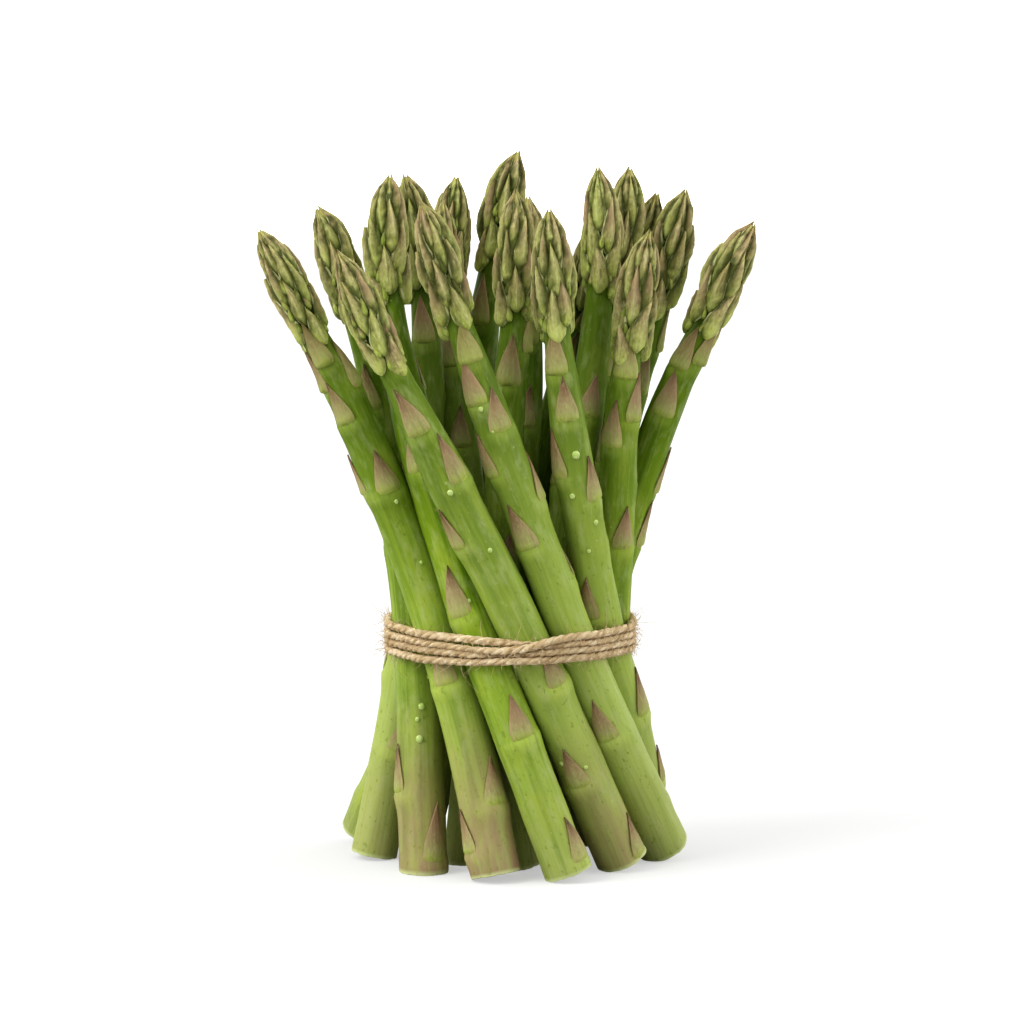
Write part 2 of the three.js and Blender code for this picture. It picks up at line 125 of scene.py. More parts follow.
class Course:
    """The line a packed spear follows, read off level slices, with the stem's radius along it."""

    def __init__(self, node):
        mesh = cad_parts[node].data
        points = np.empty(len(mesh.vertices) * 3)
        mesh.vertices.foreach_get("co", points)
        points = points.reshape(-1, 3)
        edges = np.empty(len(mesh.edges) * 2, int)
        mesh.edges.foreach_get("vertices", edges)
        start, end = points[edges[0::2]], points[edges[1::2]]
        top = points[:, 2].max()
        levels = np.arange(FOOT_SKIP, top - TIP_SKIP, SLICE_STEP)
        middles, radii = [], []
        for level in levels:
            meets = (start[:, 2] - level) * (end[:, 2] - level) < 0
            a, b = start[meets], end[meets]
            cut = a + (b - a) * ((level - a[:, 2]) / (b[:, 2] - a[:, 2]))[:, None]
            middle = (cut.min(0) + cut.max(0)) / 2
            middles.append(middle)
            radii.append(np.linalg.norm(cut[:, :2] - middle[:2], axis=1).mean())
        tip = points[points[:, 2] > top - TIP_CAP].mean(0)
        line = np.array(middles)
        slope = (line[3] - line[0]) / (line[3, 2] - line[0, 2])
        below = np.arange(-BELOW_FLOOR, FOOT_SKIP - COURSE_STEP, SLICE_STEP)
        foot = line[0] + slope * (below - line[0, 2])[:, None]
        line = np.vstack([foot, line, tip])
        heights = np.arange(line[0, 2], tip[2], COURSE_STEP)
        x = smooth(np.interp(heights, line[:, 2], line[:, 0]), COURSE_SMOOTHING)
        y = smooth(np.interp(heights, line[:, 2], line[:, 1]), COURSE_SMOOTHING)
        line = np.column_stack([x, y, heights])
        radius = smooth(np.interp(heights, levels, radii), RADIUS_SMOOTHING)
        lean = math.acos(min(1.0, 1 / np.linalg.norm([slope[0], slope[1], 1.0])))
        self.level_cut = lean < LEVEL_CUT_LEAN
        rest = radius[NEAR_FOOT] * math.sin(lean)
        steps = np.linalg.norm(np.diff(line, axis=0), axis=1)
        along = np.concatenate([[0], np.cumsum(steps)])
        along -= np.interp(rest, line[:, 2], along)
        self.along, self.line, self.radius = along, line, radius
        self.length = along[-1] + TIP_REACH
        tangent = np.gradient(line, along, axis=0)
        self.tangent = tangent / np.linalg.norm(tangent, axis=1)[:, None]

    def at_height(self, height):
        """How far along the shoot a height above the floor is reached."""
        return np.interp(height, self.line[:, 2], self.along)

    def stem_radius(self, s):
        """Radius of the shoot without its leaves, s along it from the foot."""
        below_tip = self.length - np.asarray(s)
        stem = np.interp(s, self.along, self.radius) + FULLNESS
        core = np.interp(below_tip, CORE_BELOW_TIP, CORE_RADIUS)
        mix = np.clip((below_tip - HEAD_ONLY) / (HEAD_TO_NECK - HEAD_ONLY), 0, 1)
        return core * (1 - mix) + np.minimum(stem, WIDEST_STEM) * mix

    def bend(self, points):
        """Takes points on the straight upright shoot to where they lie on the bent one."""
        s = points[:, 2]
        place = np.column_stack([np.interp(s, self.along, line) for line in self.line.T])
        aim = np.column_stack([np.interp(s, self.along, tangent) for tangent in self.tangent.T])
        over = s - np.clip(s, self.along[0], self.along[-1])
        place += aim * over[:, None]
        back = np.array([0.0, 1.0, 0.0]) - aim * aim[:, 1:2]
        back /= np.linalg.norm(back, axis=1)[:, None]
        side = np.cross(back, aim)
        return place + side * points[:, 0:1] + back * points[:, 1:2]


def leaf_swelling(course, leaves, s, angle):
    """The stem swells a little towards the foot of each scale leaf."""
    out = np.zeros_like(s)
    for height, direction in leaves:
        gap = s - course.at_height(height * MM)
        reach = np.where(gap < 0, SWELLING_BELOW, SWELLING_ABOVE)
        facing = np.clip(np.cos(angle - math.radians(direction)), 0, 1) ** 1.3
        swelling = LOW_SWELLING if height < LOW_LEAVES else HIGH_SWELLING
        out += swelling * np.exp(-(gap / reach) ** 2) * facing
    return out


def read_points(obj):
    points = np.empty(len(obj.data.vertices) * 3)
    obj.data.vertices.foreach_get("co", points)
    return points.reshape(-1, 3)


def write_points(obj, points):
    obj.data.vertices.foreach_set("co", np.ascontiguousarray(points, float).ravel())
    obj.data.update()


def mark(obj, name, value, kind="FLOAT"):
    """Records a value on every point of a piece, for its finish to read."""
    layer = obj.data.attributes.get(name) or obj.data.attributes.new(name, kind, "POINT")
    count = len(obj.data.vertices)
    if kind == "FLOAT_VECTOR":
        layer.data.foreach_set("vector", np.ascontiguousarray(value, np.float32).ravel())
    else:
        layer.data.foreach_set("value", np.broadcast_to(np.float32(value), count).copy())


def grow_stem(name, course, leaves, draws):
    """One stem, drawn up ring by ring from its cut foot, then given its ribs and swellings."""
    rings = max(int(course.length / RING_STEP), FEWEST_RINGS)
    heights = np.linspace(0, course.length - CORE_SHORT, rings)
    radii = course.stem_radius(heights)
    bpy.ops.object.select_all(action="DESELECT")
    bpy.ops.mesh.primitive_circle_add(vertices=STEM_SIDES, radius=radii[0], fill_type="NGON")
    stem = bpy.context.object
    stem.name = name
    bpy.ops.object.mode_set(mode="EDIT")
    for low, high, was, now in zip(heights, heights[1:], radii, radii[1:]):
        bpy.ops.mesh.extrude_region_move(TRANSFORM_OT_translate={"value": (0, 0, high - low)})
        bpy.ops.transform.resize(value=(now / was, now / was, 1), center_override=(0, 0, high))
    bpy.ops.mesh.select_all(action="SELECT")
    bpy.ops.mesh.normals_make_consistent(inside=False)
    bpy.ops.object.mode_set(mode="OBJECT")
    points = read_points(stem)
    angle = np.arctan2(points[:, 0], -points[:, 1])
    s = points[:, 2]
    spread = np.linalg.norm(points[:, :2], axis=1)
    swelling = leaf_swelling(course, leaves, s, angle)
    mark(stem, "node", np.clip(swelling / MM, 0, 1))
    mark(stem, "tip", np.clip((s - course.length + TIP_BROWNING) / TIP_BROWNING_FADE, 0, 1))
    grow = 1 + swelling / np.maximum(spread, 1 * MM)
    phases = draws.uniform(0, 2 * math.pi, 6)
    grow += BROAD_RIB * np.sin(3 * angle + phases[0] + 25 * s) + FINE_RIB * np.sin(7 * angle + phases[1])
    grow += WAVER * np.sin(260 * s + phases[2]) * np.sin(2 * angle + phases[3])
    rag = BROAD_RAG * np.sin(5 * angle + phases[4]) + FINE_RAG * np.sin(11 * angle + phases[5])
    points[:, 0] *= grow
    points[:, 1] *= grow
    points[:, 2] += np.abs((s < RAGGED_EDGE) * rag)
    write_points(stem, points)
    return stem


def cut_foot(stem, flesh_slot):
    """The knife's cut: a thin pale rim with the fibrous flesh a little hollowed inside it."""
    bpy.ops.object.mode_set(mode="EDIT")
    bpy.ops.mesh.select_all(action="DESELECT")
    bpy.ops.object.mode_set(mode="OBJECT")
    for face in stem.data.polygons:
        face.select = len(face.vertices) > 4 and face.normal.z < -0.5
    stem.active_material_index = flesh_slot
    bpy.ops.object.mode_set(mode="EDIT")
    bpy.ops.mesh.select_mode(type="FACE")
    bpy.ops.object.material_slot_assign()
    for step_in, rise in CUT_STEPS:
        bpy.ops.mesh.inset(thickness=step_in * MM)
        bpy.ops.transform.translate(value=(0, 0, rise * MM))
    bpy.ops.object.mode_set(mode="OBJECT")


# ---------------------------------------------------------------------------------------------
# The skin of the stems. Fresh waxy asparagus skin: green, paler and sometimes mauve at the foot,
# with fine streaks running along it and a faint grey bloom. Under it, at the cut end, the flesh
# is pale and fibrous.

SKIN_FROM_FOOT = [             # share of the lower 200 mm, and the skin's own colour there
    (0.0, (0.360, 0.430, 0.120)),
    (0.2, (0.285, 0.400, 0.055)),
    (0.45, (0.215, 0.335, 0.009)),
    (0.7, (0.150, 0.250, 0.006)),
    (1.0, (0.100, 0.180, 0.004)),
]
DEEP_GREEN = (0.070, 0.150, 0.002)
PALE_STREAK = (0.370, 0.480, 0.060)
YELLOW_MOTTLE = (0.390, 0.480, 0.060)
BLEACHED_GREEN = (0.410, 0.490, 0.140)
SHOULDER_GREEN = (0.060, 0.115, 0.003)
SWELLING_YELLOW = (0.500, 0.600, 0.130)
DARK_THREAD = (0.085, 0.150, 0.004)
WAX_BLOOM = (0.450, 0.500, 0.230)
FOOT_MAUVE = (0.335, 0.215, 0.140)
TIP_BROWN = (0.440, 0.430, 0.130)
CUT_RIM = (0.560, 0.620, 0.300)
# painted shade, where the stem lies deep in the folds under the head's scales
STEM_FOLD_SHADE = (0.020, 0.045, 0.002)
DARK_SPECK = (0.160, 0.220, 0.030)
PALE_SPECK = (0.520, 0.560, 0.240)
FLESH_DARK = (0.36, 0.38, 0.16)
FLESH_LIGHT = (0.52, 0.52, 0.30)


class Finish:
    """A material whose colour is built up layer by layer."""

    def __init__(self, name, roughness, specular):
        self.material = bpy.data.materials.new(name)
        self.material.use_nodes = True
        self.nodes = self.material.node_tree.nodes
        self.links = self.material.node_tree.links
        self.shader = self.nodes["Principled BSDF"]
        self.shader.inputs["Roughness"].default_value = roughness
        self.shader.inputs["Specular IOR Level"].default_value = specular
        self.colour = None

    def join(self, out, into):
        self.links.new(out, into)

    def attribute(self, name, output="Fac"):
        node = self.nodes.new("ShaderNodeAttribute")
        node.attribute_name = name
        return node.outputs[output]

    def part(self, vector, axis):
        node = self.nodes.new("ShaderNodeSeparateXYZ")
        self.join(vector, node.inputs[0])
        return node.outputs[axis]

    def sum(self, kind, a, b=0.0, clamp=True):
        node = self.nodes.new("ShaderNodeMath")
        node.operation = kind
        node.use_clamp = clamp
        for value, socket in ((a, node.inputs[0]), (b, node.inputs[1])):
            if isinstance(value, (int, float)):
                socket.default_value = value
            else:
                self.join(value, socket)
        return node.outputs[0]

    def ranged(self, value, low, high, to_low=0.0, to_high=1.0):
        node = self.nodes.new("ShaderNodeMapRange")
        self.join(value, node.inputs["Value"])
        node.inputs["From Min"].default_value = low
        node.inputs["From Max"].default_value = high
        node.inputs["To Min"].default_value = to_low
        node.inputs["To Max"].default_value = to_high
        return node.outputs[0]

    def noise(self, vector, stretch, detail=3.0, roughness=0.55):
        spread = self.nodes.new("ShaderNodeMapping")
        spread.inputs["Scale"].default_value = stretch
        self.join(vector, spread.inputs["Vector"])
        node = self.nodes.new("ShaderNodeTexNoise")
        node.inputs["Scale"].default_value = 1.0
        node.inputs["Detail"].default_value = detail
        node.inputs["Roughness"].default_value = roughness
        self.join(spread.outputs[0], node.inputs["Vector"])
        return node.outputs["Fac"]

    def ramp(self, value, stops):
        node = self.nodes.new("ShaderNodeValToRGB")
        elements = node.color_ramp.elements
        while len(elements) < len(stops):
            elements.new(0.5)
        for element, (place, colour) in zip(elements, stops):
            element.position = place
            element.color = (*colour, 1)
        self.join(value, node.inputs[0])
        return node.outputs[0]

    def over(self, colour, amount):
        """Lays a colour over what is there, as much as amount says."""
        node = self.nodes.new("ShaderNodeMix")
        node.data_type = "RGBA"
        self.join(self.colour, node.inputs["A"])
        node.inputs["B"].default_value = (*colour, 1)
        self.join(amount, node.inputs["Factor"])
        self.colour = node.outputs["Result"]

    def finish(self, bumps=(), roughness=None):
        self.join(self.colour, self.shader.inputs["Base Color"])
        if roughness is not None:
            self.join(roughness, self.shader.inputs["Roughness"])
        under = None
        for value, depth in bumps:
            node = self.nodes.new("ShaderNodeBump")
            node.inputs["Distance"].default_value = depth
            node.inputs["Strength"].default_value = 1.0
            self.join(value, node.inputs["Height"])
            if under is not None:
                self.join(under, node.inputs["Normal"])
            under = node.outputs[0]
        if under is not None:
            self.join(under, self.shader.inputs["Normal"])
        return self.material


def stem_skin():
    skin = Finish("stem_skin", 0.42, 0.10)
    grown = skin.attribute("grown", "Vector")
    height = skin.part(grown, "Z")
    skin.colour = skin.ramp(skin.ranged(height, 0.0, 0.2), SKIN_FROM_FOOT)
    streaks = skin.noise(grown, (900, 900, 22), 3.0)
    broad = skin.noise(grown, (240, 240, 9), 2.0)
    mottle = skin.noise(grown, (150, 150, 60), 4.0)
    threads = skin.noise(grown, (1500, 1500, 16), 3.0)
    bloom = skin.noise(grown, (360, 360, 130), 5.0, 0.6)
    patches = skin.noise(grown, (250, 250, 60), 4.0)
    specks = skin.noise(grown, (700, 700, 500), 2.0)
    fine = skin.noise(grown, (2600, 2600, 60), 2.0)
    skin.over(DEEP_GREEN, skin.ranged(broad, 0.46, 0.62, 0.0, 0.72))
    skin.over(PALE_STREAK, skin.ranged(streaks, 0.50, 0.68, 0.0, 0.35))
    skin.over(YELLOW_MOTTLE, skin.ranged(mottle, 0.50, 0.66, 0.0, 0.45))
    below_shoulder = skin.ranged(height, 0.17, 0.05, 0.22, 0.75)
    skin.over(BLEACHED_GREEN, skin.sum("MULTIPLY", skin.attribute("pale"), below_shoulder))
    skin.over(SHOULDER_GREEN, skin.ranged(height, 0.10, 0.19, 0.0, 0.6))
    skin.over(SWELLING_YELLOW, skin.ranged(skin.attribute("node"), 0.35, 1.0, 0.0, 0.42))
    skin.over(DARK_THREAD, skin.ranged(threads, 0.50, 0.34, 0.0, 0.16))
    skin.over(WAX_BLOOM, skin.ranged(bloom, 0.50, 0.72, 0.0, 0.40))
    low = skin.ranged(height, 0.055, 0.0, 0.0, 0.9)
    patchy = skin.ranged(patches, 0.34, 0.58, 0.45, 1.0)
    blush = skin.sum("MULTIPLY", skin.sum("MULTIPLY", low, patchy), skin.attribute("blush"))
    skin.over(FOOT_MAUVE, blush)
    skin.over(TIP_BROWN, skin.attribute("tip"))
    skin.over(CUT_RIM, skin.ranged(height, 0.0014, 0.0004, 0.0, 0.8))
    # painted shade: the stem darkens where it lies deep in the folds under the head's scales
    skin.over(STEM_FOLD_SHADE, skin.attribute("fold_shade"))
    skin.over(DARK_SPECK, skin.ranged(specks, 0.62, 0.72, 0.0, 0.5))
    skin.over(PALE_SPECK, skin.ranged(specks, 0.30, 0.22, 0.0, 0.5))
    gloss = skin.ranged(mottle, 0.3, 0.7, 0.32, 0.50)
    bumps = [(broad, 0.10 * MM), (streaks, 0.08 * MM), (fine, 0.035 * MM), (bloom, 0.06 * MM)]
    return skin.finish(bumps, gloss)


def cut_flesh():
    flesh = Finish("cut_flesh", 0.6, 0.3)
    grown = flesh.attribute("grown", "Vector")
    fibres = flesh.noise(grown, (1500, 1500, 300), 2.0)
    flesh.colour = flesh.ramp(fibres, [(0.3, FLESH_DARK), (0.7, FLESH_LIGHT)])
    return flesh.finish([(fibres, 0.2 * MM)])


# ---------------------------------------------------------------------------------------------
# The scale leaves and the scales of the head. Thin papery triangles grown from the stem, mauve-brown
# with a paler yellow-green foot that stands out as a small ledge. Each kind is shaped once from a
# flat sheet and closed underneath, and every leaf is a copy laid on its stem.

ROW_CROWDING = 1.15            # the rows of the sheet crowd a little towards the foot
KEEL_WIDTH = 0.16
SHELL_DEPTH = 0.35
THINNEST_WRAP = 2.2 * MM       # a scale never curls round less than this
CLOSING_PAST = 0.3 * MM        # the scales close against each other over the last stretch of a tip
CLOSING_RUN = 6 * MM
# Outlines as (share of the length, share of the width), lifts as (share of the length, thickness).
LEAF_OUTLINE = [(0, 0.80), (0.04, 0.95), (0.1, 1.0), (0.25, 0.93), (0.42, 0.74), (0.62, 0.48),
                (0.8, 0.25), (0.92, 0.10), (1, 0.01)]
LEAF_LIFT = [(0, 0.25), (0.03, 0.85), (0.09, 1.0), (0.25, 0.82), (0.5, 0.58), (0.8, 0.40), (1, 0.2)]
HEAD_SCALE_OUTLINE = [(0, 0.20), (0.05, 0.46), (0.14, 0.80), (0.26, 1.0), (0.42, 0.92), (0.6, 0.66),
                      (0.78, 0.36), (0.91, 0.15), (1, 0.01)]
HEAD_SCALE_LIFT = [(0, 0.0), (0.06, 0.35), (0.2, 0.75), (0.4, 0.98), (0.6, 1.0), (0.8, 0.95), (1, 0.8)]
LOW_SCALE_LIFT = [(0, 0.45), (0.04, 0.80), (0.15, 1.0), (0.3, 1.0), (0.5, 0.95), (0.8, 0.88), (1, 0.7)]
PALE_VEIN = (0.56, 0.54, 0.27)
DARK_RIB = (0.120, 0.135, 0.030)
# painted shade in the creases of the wrinkles, and a painted highlight on their crests
CREASE_SHADE = (0.160, 0.130, 0.040)
CREST_HIGHLIGHT = (0.700, 0.700, 0.360)
BROWN_BLOTCH = (0.260, 0.150, 0.085)
MAUVE_TINT = (0.380, 0.235, 0.150)
GREEN_TINT = (0.700, 0.760, 0.220)
# painted shade down the sides of a head scale, and a painted highlight along its keel
SIDE_SHADE = (0.070, 0.090, 0.016)
KEEL_HIGHLIGHT = (0.640, 0.670, 0.330)
# painted shade in the folds between the scales of the head
HEAD_FOLD_SHADE = (0.045, 0.062, 0.008)


def shape_scale(name, across, along, outline, lift, camber, ridge=0.0):
    """A scale one unit long and two wide at most, its foot at the origin, thick side up."""
    bpy.ops.object.select_all(action="DESELECT")
    bpy.ops.mesh.primitive_grid_add(x_subdivisions=across, y_subdivisions=along, size=2)
    scale = bpy.context.object
    scale.name = name
    points = read_points(scale)
    u = points[:, 0].copy()
    t = ((points[:, 1] + 1) / 2) ** ROW_CROWDING
    places, widths = zip(*outline)
    points[:, 0] = u * np.interp(t, places, widths)
    points[:, 1] = t
    places, lifts = zip(*lift)
    keel = ridge * np.exp(-(u / KEEL_WIDTH) ** 2) * np.sin(math.pi * t)
    points[:, 2] = np.interp(t, places, lifts) * (1 - camber * u ** 2 + keel)
    write_points(scale, points)
    bpy.ops.object.mode_set(mode="EDIT")
    bpy.ops.mesh.select_all(action="SELECT")
    bpy.ops.mesh.region_to_loop()
    bpy.ops.mesh.extrude_region_move(TRANSFORM_OT_translate={"value": (0, 0, -SHELL_DEPTH)})
    bpy.ops.mesh.edge_face_add()
    bpy.ops.mesh.select_all(action="SELECT")
    bpy.ops.mesh.normals_make_consistent(inside=False)
    bpy.ops.object.mode_set(mode="OBJECT")
    return scale


stem_leaf_shape = shape_scale("stem_leaf_shape", 8, 12, LEAF_OUTLINE, LEAF_LIFT, 0.80)
head_scale_shape = shape_scale(
    "head_scale_shape", 6, 11, HEAD_SCALE_OUTLINE, HEAD_SCALE_LIFT, 0.95, 0.22)
low_scale_shape = shape_scale(
    "low_scale_shape", 6, 11, HEAD_SCALE_OUTLINE, LOW_SCALE_LIFT, 0.90, 0.16)


def side_bud_shape():
    """A small plump bud, drawn to a point, of the kind that sits behind each scale."""
    bpy.ops.object.select_all(action="DESELECT")
    middle = (0, 0.5, 0)
    bpy.ops.mesh.primitive_uv_sphere_add(segments=8, ring_count=6, radius=0.5, location=middle)
    bud = bpy.context.object
    bud.name = "side_bud_shape"
    bpy.ops.object.transform_apply(location=True)
    bpy.ops.object.mode_set(mode="EDIT")
    bpy.ops.transform.rotate(value=math.pi / 2, orient_axis="X", center_override=middle)
    bpy.ops.object.mode_set(mode="OBJECT")
    points = read_points(bud)
    t = np.clip(points[:, 1], 0, 1)
    points[:, 0] *= 2 * (1.1 - 0.75 * t)
    points[:, 2] = points[:, 2] * 1.6 * (1.1 - 0.6 * t) + 0.25
    write_points(bud, points)
    return bud


side_bud = side_bud_shape()


def lay_scale(shape, course, s, direction, size, tone, opening=0.0, skew=0.0, sink=0.0, crinkle=0.0):
    """A copy of a scale laid on the straight shoot, its foot at s, facing a direction.

    Opening stands its point off the shoot, skew leans it sideways, sink sets its foot into the stem
    and crinkle wrinkles it.
    """
    length, width, thickness = size
    scale = shape.copy()
    scale.data = shape.data.copy()
    bpy.context.scene.collection.objects.link(scale)
    points = read_points(scale)
    across, t, up = points.T
    place = s + t * length
    radius = course.stem_radius(np.clip(place, 0, course.length))
    turn = direction + skew * t * t + across * width / 2 / np.maximum(radius, THINNEST_WRAP)
    closing = np.clip((course.length - place + CLOSING_PAST) / CLOSING_RUN, 0, 1)
    waves = np.sin(5 * across + 9 * t + 40 * tone) * np.sin(13 * t + 90 * tone)
    reach = radius + (up * thickness + crinkle * waves + opening * t ** 2) * closing - sink
    write_points(scale, np.column_stack([reach * np.sin(turn), -reach * np.cos(turn), place]))
    mark(scale, "tone", tone)
    return scale


def scale_finish(name, stops, edge, greening, veined=0.7, relief_shading=0.0, wrinkled=1.0):
    """Papery scale: pale foot, mauve-brown body with fine veins, thin pale edge, with painted shade down
    its sides and a painted highlight along its keel.
    """
    paper = Finish(name, 0.5, 0.14)
    sheet = paper.nodes.new("ShaderNodeUVMap")
    sheet.uv_map = "UVMap"
    up = paper.part(sheet.outputs[0], "Y")
    across = paper.part(sheet.outputs[0], "X")
    off = paper.sum("ABSOLUTE", paper.sum("SUBTRACT", across, 0.5, clamp=False))
    tone = paper.attribute("tone")
    tint = paper.sum("FRACT", paper.sum("MULTIPLY", tone, 7.3, clamp=False))
    grown = paper.attribute("grown", "Vector")
    uneven = paper.noise(grown, (420, 420, 160), 3.0)
    veins = paper.noise(grown, (2200, 2200, 70), 2.0)
    ribs = paper.noise(grown, (1000, 1000, 45), 2.0)
    wrinkle = paper.noise(grown, (1500, 1500, 700), 4.0)
    blotch = paper.noise(grown, (650, 650, 380), 2.0)
    place = paper.sum("ADD", up, paper.ranged(uneven, 0.3, 0.7, 0.0, 0.16))
    paper.colour = paper.ramp(place, stops)
    paper.over(greening, paper.ranged(tone, 0.35, 1.0, 0.0, 0.7))
    paper.over(PALE_VEIN, paper.ranged(veins, 0.50, 0.72, 0.0, 0.55 * veined))
    paper.over(DARK_RIB, paper.ranged(ribs, 0.48, 0.30, 0.0, 0.6 * veined))
    # painted shade in the wrinkles' creases and a painted highlight on their crests, following the
    # wrinkle bump
    paper.over(CREASE_SHADE, paper.ranged(wrinkle, 0.48, 0.32, 0.0, 0.45 * wrinkled))
    paper.over(CREST_HIGHLIGHT, paper.ranged(wrinkle, 0.54, 0.68, 0.0, 0.55 * wrinkled))
    paper.over(BROWN_BLOTCH, paper.ranged(blotch, 0.58, 0.78, 0.0, 0.5))
    mauve = paper.ranged(tint, 0.5, 1.0, 0.0, 0.3 + 0.4 * wrinkled)
    paper.over(MAUVE_TINT, paper.sum("MULTIPLY", paper.ranged(up, 0.25, 0.6), mauve))
    green = paper.ranged(tint, 0.5, 0.0, 0.0, 0.5 * wrinkled)
    paper.over(GREEN_TINT, paper.sum("MULTIPLY", paper.ranged(up, 0.6, 0.15), green))
    # painted shade down the sides of each scale and a painted highlight along its keel
    paper.over(SIDE_SHADE, paper.ranged(off, 0.22, 0.44, 0.0, relief_shading))
    keel = paper.ranged(off, 0.16, 0.02, 0.0, relief_shading)
    paper.over(KEEL_HIGHLIGHT, paper.sum("MULTIPLY", keel, paper.ranged(uneven, 0.35, 0.6)))
    # painted shade, darkening the head deep in the folds between its scales
    paper.over(HEAD_FOLD_SHADE, paper.sum("MULTIPLY", paper.attribute("fold_shade"), 0.85))
    rim = paper.sum("MULTIPLY", paper.ranged(off, 0.38, 0.44), paper.ranged(off, 0.50, 0.46))
    paper.over(edge, paper.sum("MULTIPLY", rim, paper.ranged(uneven, 0.40, 0.58, 0.1, 0.85)))
    bumps = [(ribs, 0.12 * MM * veined), (veins, 0.06 * MM), (wrinkle, 0.26 * MM * wrinkled)]
    return paper.finish(bumps)


# ---------------------------------------------------------------------------------------------
# The beads of water. A few drops of clear water left from washing, low domes that cling to the skin
# and let the green through. Each is laid on its spear before the spear is bent.

DROP_SPREAD = 1.4              # clinging to the skin, a bead grows from its width by this factor
DROP_FLOOR = -0.16             # its underside is cut flat here, as a share of its width
DROP_HEIGHT = 0.72
# Each bead as (spear, height in mm, direction in degrees, width in mm before it spreads).
BEADS = [
    (2, 51, 8, 1.5), (2, 47, -4, 1.1), (2, 41, 0, 1.7), (2, 60, 30, 0.8), (3, 34, -28, 2.0),
    (3, 39, -40, 1.2), (3, 36, 12, 0.9), (5, 57, 38, 2.4), (5, 63, 20, 0.9), (4, 86, 10, 1.0),
    (12, 131, 10, 1.8), (12, 119, -20, 1.3), (12, 110, 35, 1.2), (12, 102, 0, 0.9), (3, 122, -5, 1.3),
    (3, 103, 20, 1.1), (7, 146, -18, 1.2), (7, 139, -5, 0.8), (1, 116, 15, 1.0), (1, 97, 20, 0.8),
    (13, 104, 5, 1.1), (9, 84, 20, 1.0), (16, 90, 160, 1.4), (17, 120, 200, 1.2), (11, 60, 180, 1.5),
    (14, 110, 170, 1.2), (10, 80, 100, 1.3), (15, 100, -80, 1.2), (18, 84, 130, 1.1),
]


def bead_shape():
    """A low dome of water, one across, flattened where it clings to the skin."""
    bpy.ops.object.select_all(action="DESELECT")
    bpy.ops.mesh.primitive_uv_sphere_add(segments=14, ring_count=9, radius=0.5)
    bead = bpy.context.object
    bead.name = "bead_shape"
    points = read_points(bead)
    points[:, 1] *= np.where(points[:, 1] < 0, 1.25, 0.95)
    points[:, 2] = np.maximum(points[:, 2], DROP_FLOOR) * DROP_HEIGHT
    write_points(bead, points)
    return bead


def water():
    drop = Finish("water", 0.04, 0.6)
    drop.shader.inputs["Transmission Weight"].default_value = 0.25
    drop.shader.inputs["IOR"].default_value = 1.33
    grown = drop.attribute("grown", "Vector")
    cloud = drop.noise(grown, (900, 900, 900), 1.0)
    drop.colour = drop.ramp(cloud, [(0.3, (0.55, 0.74, 0.18)), (0.7, (0.72, 0.86, 0.34))])
    return drop.finish()


water_bead = bead_shape()
water_finish = water()


def cling(number, course, leaves):
    """The beads of one spear, on its straight stem."""
    beads = []
    for spear, height, direction, width in BEADS:
        if spear != number:
            continue
        bead = water_bead.copy()
        bead.data = water_bead.data.copy()
        bpy.context.scene.collection.objects.link(bead)
        s = course.at_height(height * MM)
        turn = math.radians(direction)
        swelling = leaf_swelling(course, leaves, np.array([s]), np.array([turn]))[0]
        skin = course.stem_radius(s) + swelling
        across, up, out = (read_points(bead) * width * DROP_SPREAD * MM).T
        reach = skin + out
        place = turn + across / skin
        write_points(bead, np.column_stack([reach * np.sin(place), -reach * np.cos(place), s + up]))
        bead.data.materials.append(water_finish)
        beads.append(bead)
    return beads


# ---------------------------------------------------------------------------------------------
# The spears, one after the other: stem, scale leaves, head and cut foot are joined into one piece
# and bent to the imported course. Golden-angle spacing sets the scales of the head, as it grows.

GOLDEN_TURN = math.radians(137.5)
HEAD_SCALES = 25
LOW_SCALES = 6                 # the first scales of a head are open at their foot
TOP_SCALE_BELOW_TIP = 11.0     # in mm, as the other sizes of the head
HEAD_SPREAD = 31.5
# Sizes of the scales from the lowest (0) to the one at the tip (1).
LENGTH_UP = ([0, 0.35, 0.7, 1], [14.5, 17.5, 17.0, 12.5])
WIDTH_UP = ([0, 0.35, 0.7, 1], [6.4, 5.5, 4.2, 3.0])
THICKNESS_UP = ([0, 0.35, 0.7, 1], [2.4, 2.3, 1.9, 1.3])
LOOSENESS_UP = ([0, 0.3, 0.85, 1], [0.8, 0.55, 0.15, 0.0])
BUDS_UP_TO = 0.6
HEAD_LEAVES_END = 42 * MM      # leaves no farther than this below the tip are the fullest
NEAR_RUN = 30 * MM             # the fullness by the head, and that by the foot, fades over this
BUD_SIZE = (5.5 * MM, 2.2 * MM, 1.9 * MM)
LEVEL_FADE = 8 * MM            # a level-cut foot is pressed flat over this height
SMOOTH_ANGLE = math.radians(50)

skin_finish = stem_skin()
flesh_finish = cut_flesh()
leaf_finish = scale_finish("scale_leaf", [
    (0.0, (0.470, 0.580, 0.100)),
    (0.10, (0.360, 0.430, 0.080)),
    (0.32, (0.345, 0.340, 0.130)),
    (0.58, (0.325, 0.260, 0.125)),
    (0.88, (0.225, 0.140, 0.075)),
    (1.0, (0.120, 0.070, 0.035)),
], (0.42, 0.32, 0.16), (0.270, 0.330, 0.060), veined=0.35, wrinkled=0.25)
head_finish = scale_finish("head_scale", [
    (0.0, (0.570, 0.720, 0.130)),
    (0.2, (0.515, 0.590, 0.125)),
    (0.5, (0.455, 0.430, 0.150)),
    (0.8, (0.430, 0.325, 0.165)),
    (1.0, (0.540, 0.455, 0.190)),
], (0.76, 0.76, 0.40), (0.370, 0.440, 0.085), veined=1.0, relief_shading=0.32)
